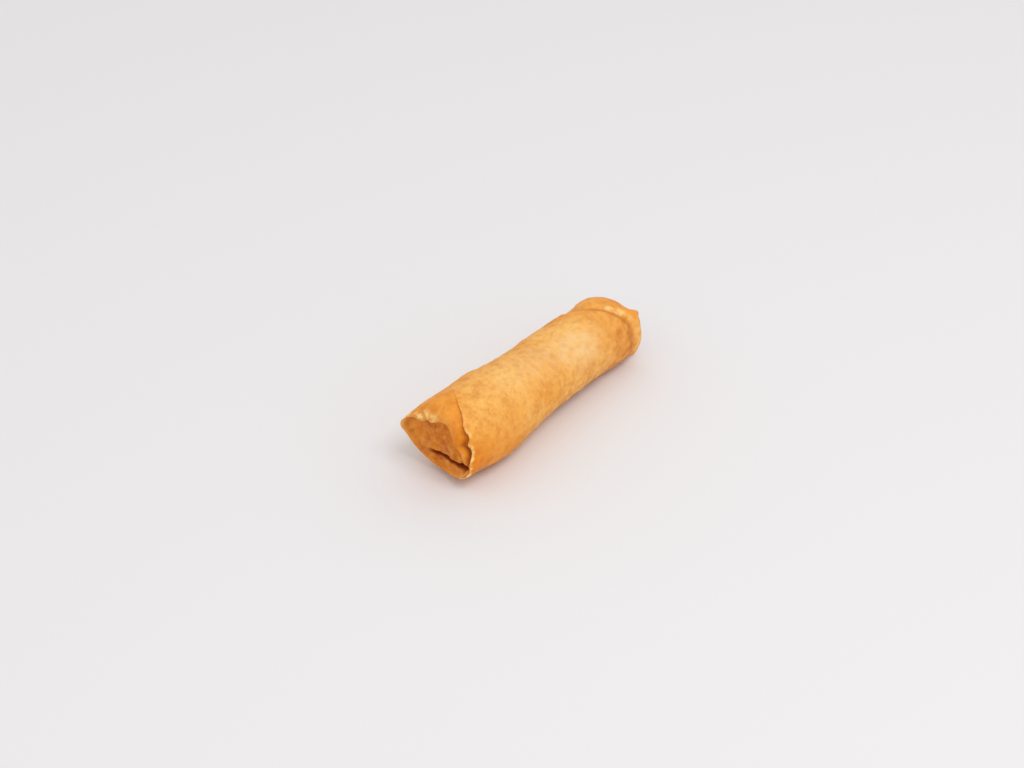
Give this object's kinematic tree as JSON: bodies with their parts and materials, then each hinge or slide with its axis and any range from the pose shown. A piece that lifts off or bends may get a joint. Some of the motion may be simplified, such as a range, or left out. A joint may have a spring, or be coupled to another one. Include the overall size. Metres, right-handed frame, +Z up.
{
  "type": "fried spring roll",
  "caption": "Deep-fried spring roll: a tapered cylinder of rolled wrapper with a pinched, tucked-in open end, overlapping raw edges and a flat strip to rest on.",
  "frame": {"origin": "middle of the roll's length on the flat strip that it rests on", "axes": "+X along the roll from the open pinched end to the slim end, +Y towards the back, +Z up"},
  "size_m": [0.1052, 0.0315, 0.03],
  "materials": {
    "fried_wrapper": "satin"
  },
  "bodies": {
    "root": {"spring_roll": "fried_wrapper"}
  },
  "joints": []
}
